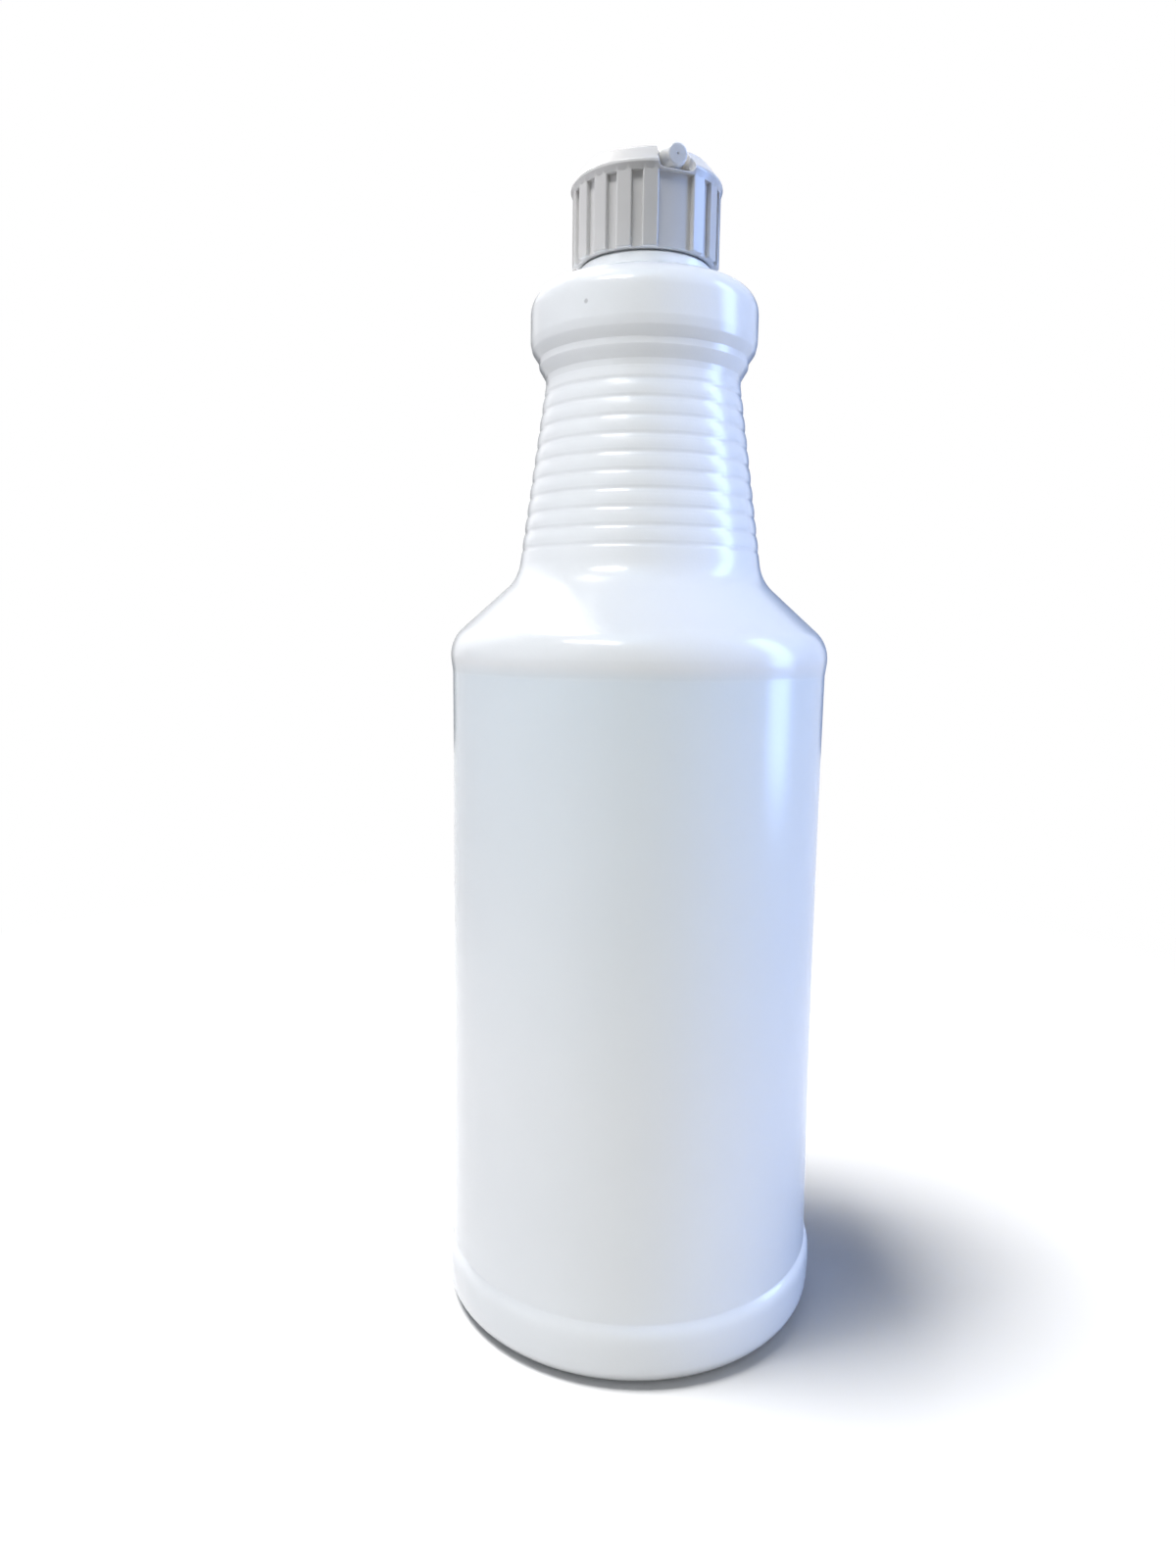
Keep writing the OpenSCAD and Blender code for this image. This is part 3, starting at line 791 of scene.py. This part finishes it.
class MakeCap(bpy.types.Operator):
    """Builds the ribbed cap with its slot, notch, sockets and thread"""

    bl_idname = "spotting.cap"
    bl_label = "Cap"

    def execute(self, context):
        s, c = context.scene.bottle_sizes, context.scene.cap_sizes
        plastic = cap_plastic(context.scene.finish_colours)
        deck, skirt, pivot = DECK / MM, SKIRT / MM, PIVOT / MM
        bore = s.finish / 2 + s.thread + c.thread_room
        top = deck + c.flange + c.bevel + c.crown_height
        slot = c.drum_width + 2 * c.side_room
        floor = pivot - c.drum / 2 - c.seat_height
        cap = piece("cap_shell", turned("cap_shell", cap_loop(c, deck, skirt, bore), plastic, 128), plastic)

        inner = c.ribs / 2 - c.rib_depth - BITE
        rib = bpy.data.objects.new("rib", box_mesh("rib", (inner, -c.rib_width / 2, skirt),
                                                   (c.ribs / 2, c.rib_width / 2, deck + BITE), c.rib_round))
        places = bpy.data.meshes.new("rib_places")
        carved(cap, realised("cap_ribs", places, ring_tree(plastic, rib), Places=c.rib_places), "UNION")
        bpy.data.objects.remove(rib)
        carved(cap, rod_mesh("boss", c.boss / 2, deck - c.boss_height, deck + BITE, rim=0.2), "UNION")

        reach = s.mouth / 2 - 1
        for side in (-1, 1):
            inside = slot / 2 + c.pin_length + 0.6
            core_top = deck + c.flange + c.bevel - c.crown_wall
            core = piece("core", rod_mesh("core", reach, deck - 1, core_top), plastic)
            half = box_mesh("half", (side * inside, -THROUGH, deck - 2),
                            (side * inside + side * THROUGH, THROUGH, top))
            carved(core, half, "INTERSECT")
            carved(cap, core.data)
            bpy.data.objects.remove(core)
        carved(cap, box_mesh("slot", (-slot / 2, -THROUGH, floor),
                             (slot / 2, c.drum / 2 + c.seat_height, top + 5)))
        notch = box_mesh("notch", (-c.notch / 2, -2 * c.notch_length, 0), (c.notch / 2, 0, 12), c.notch_round)
        fall = math.radians(c.notch_fall)
        start = Vector((0, c.notch_length - c.flange_width / 2, floor + c.notch_length * math.tan(fall) / 2))
        carved(cap, notch, at=Matrix.Translation(start * MM) @ Matrix.Rotation(fall, 4, "X"))
        carved(cap, rod_mesh("seat", c.seat / 2, floor - BITE, floor + c.seat_height), "UNION")
        at_pivot = Matrix.Translation((0, 0, pivot * MM))
        half = slot / 2 + c.pin_length + 0.3
        carved(cap, rod_mesh("sockets", c.pin / 2 + 0.05, -half, half, "X"), at=at_pivot)
        carved(cap, rod_mesh("seat_hollow", c.drum / 2 + 0.05, -slot / 2, slot / 2, "X"), at=at_pivot)
        carved(cap, rod_mesh("hole", c.channel / 2, deck - 5, pivot))

        root, crest = bore + BITE, s.finish / 2 + c.crest_room
        z = LIP / MM - s.thread_start - s.pitch * s.turns - THREAD_DROP * s.pitch
        ridge = [(root, z - c.thread_width / 2), (crest, z - s.crest / 2), (crest, z + s.crest / 2),
                 (root, z + c.thread_width / 2), (root, z - c.thread_width / 2)]
        thread = turned("cap_thread", ridge, plastic, 90, s.turns * math.tau, s.pitch * s.turns, root,
                        THREAD_FADE)
        cap = piece("cap_moulding", cap.data, plastic, 32)
        even_shading(cap)
        for obj in (cap, piece("cap_thread", thread, plastic)):
            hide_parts("cap")
            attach(obj, "cap")
        bpy.data.objects.remove(bpy.data.objects["cap_shell"])
        return {"FINISHED"}


class MakeSpout(bpy.types.Operator):
    """Builds the tapered spout on its drum and pins"""

    bl_idname = "spotting.spout"
    bl_label = "Spout"

    def execute(self, context):
        c = context.scene.cap_sizes
        plastic = spout_plastic(context.scene.finish_colours)
        taper = rounded([(0, 0, 0), (c.drum / 2, 0, 0.1), (c.tip_neck / 2, c.spout - c.tip_length, 4),
                         (c.tip / 2, c.spout - c.tip_bevel, c.tip_bevel),
                         (c.tip / 2 - c.tip_bevel, c.spout, 0.15), (0, c.spout, 0)])
        spout = piece("spout_taper", turned("spout_taper", taper, plastic, 96), plastic)
        half = c.drum_width / 2
        carved(spout, box_mesh("sides", (-half, -THROUGH, -2), (half, THROUGH, c.spout + 5)), "INTERSECT")
        relief = piece("relief", rod_mesh("relief", c.drum / 2 + c.relief, -8, 8, "X"), plastic)
        carved(relief, box_mesh("below", (-9, -THROUGH, -THROUGH), (9, 0, THROUGH)), "INTERSECT")
        carved(spout, relief.data)
        bpy.data.objects.remove(relief)
        carved(spout, rod_mesh("drum", c.drum / 2, -half, half, "X", rim=0.25), "UNION")
        reach = half + c.pin_length + c.side_room
        carved(spout, rod_mesh("pins", c.pin / 2, -reach, reach, "X", rim=0.25), "UNION")
        carved(spout, rod_mesh("channel", c.channel / 2, -c.drum, c.spout - c.tip_length))
        carved(spout, rod_mesh("orifice", c.orifice / 2, c.spout - 4, c.spout + 1))
        mesh = spout.data
        fold = Matrix.Rotation(math.radians(90 + c.droop), 4, "X")
        mesh.transform(Matrix.Translation((0, 0, PIVOT)) @ fold)
        bpy.data.objects.remove(spout)
        obj = piece("spout_moulding", mesh, plastic, 32)
        even_shading(obj)
        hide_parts("spout")
        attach(obj, "spout")
        return {"FINISHED"}


class MakeSeal(bpy.types.Operator):
    """Builds the sealing ring in the cap"""

    bl_idname = "spotting.seal"
    bl_label = "Seal"

    def execute(self, context):
        s, c = context.scene.bottle_sizes, context.scene.cap_sizes
        foam = seal_foam(context.scene.finish_colours)
        outer = s.finish / 2 + s.thread + c.thread_room - c.seal_room
        low, high, inner, soft = LIP / MM, DECK / MM, c.seal_hole / 2, 0.15
        ring = rounded([(inner, (low + high) / 2, 0), (inner, low, soft), (outer, low, soft),
                        (outer, high, soft), (inner, high, soft), (inner, (low + high) / 2, 0)])
        obj = piece("seal_ring", turned("seal_ring", ring, foam, 96), foam)
        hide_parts("liner")
        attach(obj, "liner")
        return {"FINISHED"}


def lamp(name, turn, rise, away, size_m, strength, tone, side):
    """A soft lamp aimed at the bottle; turn is counted from the camera, to the right."""
    data = bpy.data.lights.new(name, "AREA")
    data.shape, data.size, data.size_y = "RECTANGLE", size_m[0], size_m[1]
    data.energy, data.color = strength, tone
    a, e = math.radians(turn) - side, math.radians(rise)
    spot = Vector((math.sin(a) * math.cos(e), -math.cos(a) * math.cos(e), math.sin(e))) * away
    middle = Vector((0, 0, 0.15))
    obj = bpy.data.objects.new(name, data)
    bpy.context.collection.objects.link(obj)
    obj.matrix_world = Matrix.Translation(middle + spot) @ spot.to_track_quat("Z", "Y").to_matrix().to_4x4()
    return obj


def linked(name, state, *objects):
    """A collection of the objects that a lamp lights alone (INCLUDE) or leaves dark (EXCLUDE)."""
    group = bpy.data.collections.new(name)
    for i, each in enumerate(objects):
        group.objects.link(bpy.data.objects[each])
        group.collection_objects[i].light_linking.link_state = state
    return group


class MakeStage(bpy.types.Operator):
    """Builds the floor, the lamps, the room's light and the camera"""

    bl_idname = "spotting.stage"
    bl_label = "Stage"

    def execute(self, context):
        st = context.scene.stage_settings
        self.camera(context, st)
        off_floor = self.floor()
        self.dark_card(st)
        self.room(context, st)
        closure = ("cap_moulding", "cap_thread", "spout_moulding")
        shade = lamp("lamp_floor", -84, 73, 1.0, (0.4, 0.4), 18, (1.0, 1.0, 1.0), st.side)
        shade.light_linking.receiver_collection = linked("lit_floor", "INCLUDE", "floor")
        crown = lamp("lamp_crown", -33, 63, 1.0, (0.5, 0.12), 6.4, (1.0, 0.98, 0.96), st.side)
        crown.light_linking.receiver_collection = linked("lit_closure", "INCLUDE", *closure)
        body_only = linked("spared_by_body_lamps", "EXCLUDE", "floor", *closure)
        front = lamp("lamp_front", 5, 3, 1.2, (0.9, 0.7), 8.0, (0.98, 0.99, 1.0), st.side)
        front.visible_glossy = False
        front.light_linking.receiver_collection = body_only
        streaks = lamp("lamp_left", -33, 48, 1.0, (0.42, 0.08), 3.4, (1.0, 0.99, 0.98), st.side)
        streaks.light_linking.receiver_collection = body_only
        left = lamp("window_left", -85, 5, 0.9, (0.5, 0.9), 3.9, (0.88, 0.90, 1.0), st.side)
        left.visible_glossy = False
        for fill in (left,
                     lamp("lamp_high", -80, 65, 1.0, (0.3, 0.3), 1.4, (1.0, 0.97, 0.98), st.side),
                     lamp("lamp_top", -15, 62, 1.0, (0.5, 0.5), 1.1, (0.50, 0.78, 1.0), st.side),
                     lamp("lamp_back", -150, 45, 1.5, (0.12, 0.12), 22, (1.0, 0.98, 0.97), st.side),
                     lamp("window_right", 91, 12, 0.8, (0.24, 1.0), 7.8, (0.33, 0.51, 1.0), st.side)):
            fill.light_linking.receiver_collection = off_floor
        context.scene.view_settings.view_transform = "Standard"
        return {"FINISHED"}

    def camera(self, context, st):
        """The camera that was worked out from the photograph's ellipses."""
        data = bpy.data.cameras.new("camera")
        data.lens, data.sensor_width = st.lens, 36
        forward = Vector((-math.sin(st.yaw) * math.cos(st.pitch), math.cos(st.yaw) * math.cos(st.pitch),
                          -math.sin(st.pitch)))
        level = forward.cross(Vector((0, 0, 1))).normalized()
        above = level.cross(forward)
        right = level * math.cos(st.roll) + above * math.sin(st.roll)
        up = above * math.cos(st.roll) - level * math.sin(st.roll)
        turn = Matrix.Rotation(-st.side, 4, "Z")
        pose = Matrix.Identity(4)
        for i, column in enumerate((right, up, -forward, Vector((0, -st.distance, st.height)))):
            pose[0][i], pose[1][i], pose[2][i] = column
        obj = bpy.data.objects.new("camera", data)
        context.collection.objects.link(obj)
        obj.matrix_world = turn @ pose
        context.scene.camera = obj

    def floor(self):
        """Builds the floor, and returns the collection that keeps the fill lamps off it."""
        mesh = bpy.data.meshes.new("floor")
        work = bmesh.new()
        bmesh.ops.create_circle(work, cap_ends=True, segments=128, radius=3)
        work.to_mesh(mesh)
        work.free()
        m = Plastic("pale_floor")
        path = m.tree.nodes.new("ShaderNodeLightPath")
        seen = Value(m.tree, path.outputs["Is Camera Ray"])
        seen = seen.node("MAXIMUM", Value(m.tree, path.outputs["Is Glossy Ray"]))
        paper = m.add("ShaderNodeBsdfDiffuse", Color=m.blend((0.25, 0.25, 0.25), (0.96, 0.96, 0.96), seen))
        glow = m.add("ShaderNodeEmission", Color=(1, 1, 1, 1))
        fade = m.distance((0, 0, 0)).ramp(*FLOOR_FADE) * seen
        both = m.tree.nodes.new("ShaderNodeMixShader")
        for socket, value in zip(both.inputs, (fade, paper, glow)):
            m.put(socket, value)
        m.tree.links.new(both.outputs[0], m.tree.nodes["Material Output"].inputs["Surface"])
        m.tree.nodes.remove(m.shader)
        obj = bpy.data.objects.new("floor", mesh)
        bpy.context.collection.objects.link(obj)
        mesh.materials.append(m.material)
        return linked("spared_by_fill_lamps", "EXCLUDE", "floor")

    def dark_card(self, st):
        """A black card behind the bottle that only reflections see, for the narrow dark rim of its edges."""
        mesh = bpy.data.meshes.new("dark_card")
        work = bmesh.new()
        bmesh.ops.create_grid(work, x_segments=1, y_segments=1, size=0.5)
        work.to_mesh(mesh)
        work.free()
        m = Plastic("dark_card")
        m.tree.links.new(m.add("ShaderNodeBsdfDiffuse", Color=(0, 0, 0, 1)),
                         m.tree.nodes["Material Output"].inputs["Surface"])
        m.tree.nodes.remove(m.shader)
        mesh.materials.append(m.material)
        obj = bpy.data.objects.new("dark_card", mesh)
        bpy.context.collection.objects.link(obj)
        ahead = Vector((math.sin(st.side), math.cos(st.side), 0))
        obj.matrix_world = (Matrix.Translation(ahead * 1.1 + Vector((0, 0, 0.1)))
                            @ ahead.to_track_quat("Z", "Y").to_matrix().to_4x4() @ Matrix.Scale(1.3, 4))
        for kind in ("camera", "diffuse", "shadow", "transmission"):
            setattr(obj, "visible_" + kind, False)

    def room(self, context, st):
        """Dim light from all round, which the camera and reflections see as white."""
        world = bpy.data.worlds.new("room")
        world.use_nodes = True
        context.scene.world = world
        tree = world.node_tree
        path = tree.nodes.new("ShaderNodeLightPath")
        seen = Value(tree, path.outputs["Is Camera Ray"])
        for ray in ("Is Glossy Ray", "Is Transmission Ray"):
            seen = seen.node("MAXIMUM", Value(tree, path.outputs[ray]))
        dim = tree.nodes.new("ShaderNodeBackground")
        white = tree.nodes.new("ShaderNodeBackground")
        both = tree.nodes.new("ShaderNodeMixShader")
        dim.inputs["Color"].default_value = (0.96, 0.98, 1.0, 1)
        dim.inputs["Strength"].default_value = st.ambient
        tree.links.new(seen.socket, both.inputs[0])
        tree.links.new(dim.outputs[0], both.inputs[1])
        tree.links.new(white.outputs[0], both.inputs[2])
        white.inputs["Color"].default_value = (1, 1, 1, 1)
        tree.links.new(both.outputs[0], tree.nodes["World Output"].inputs["Surface"])


class BottlePanel(bpy.types.Panel):
    """Lists the pieces in the sidebar"""

    bl_label = "Spotting Bottle"
    bl_idname = "VIEW3D_PT_spotting_bottle"
    bl_space_type = "VIEW_3D"
    bl_region_type = "UI"
    bl_category = "Bottle"

    def draw(self, context):
        for operator in (MakeBottle, MakeCap, MakeSpout, MakeSeal, MakeStage):
            self.layout.operator(operator.bl_idname)


GROUPS = {"bottle_sizes": BottleSizes, "cap_sizes": CapSizes, "finish_colours": FinishColours,
          "stage_settings": StageSettings}
CLASSES = (*GROUPS.values(), MakeBottle, MakeCap, MakeSpout, MakeSeal, MakeStage, BottlePanel)


def register():
    for item in CLASSES:
        bpy.utils.register_class(item)
    for name, group in GROUPS.items():
        setattr(bpy.types.Scene, name, PointerProperty(type=group))


def unregister():
    for name in GROUPS:
        delattr(bpy.types.Scene, name)
    for item in reversed(CLASSES):
        bpy.utils.unregister_class(item)


def main():
    register()
    bpy.ops.spotting.bottle()
    bpy.ops.spotting.cap()
    bpy.ops.spotting.spout()
    bpy.ops.spotting.seal()
    bpy.ops.spotting.stage()


if __name__ == "__main__":
    main()
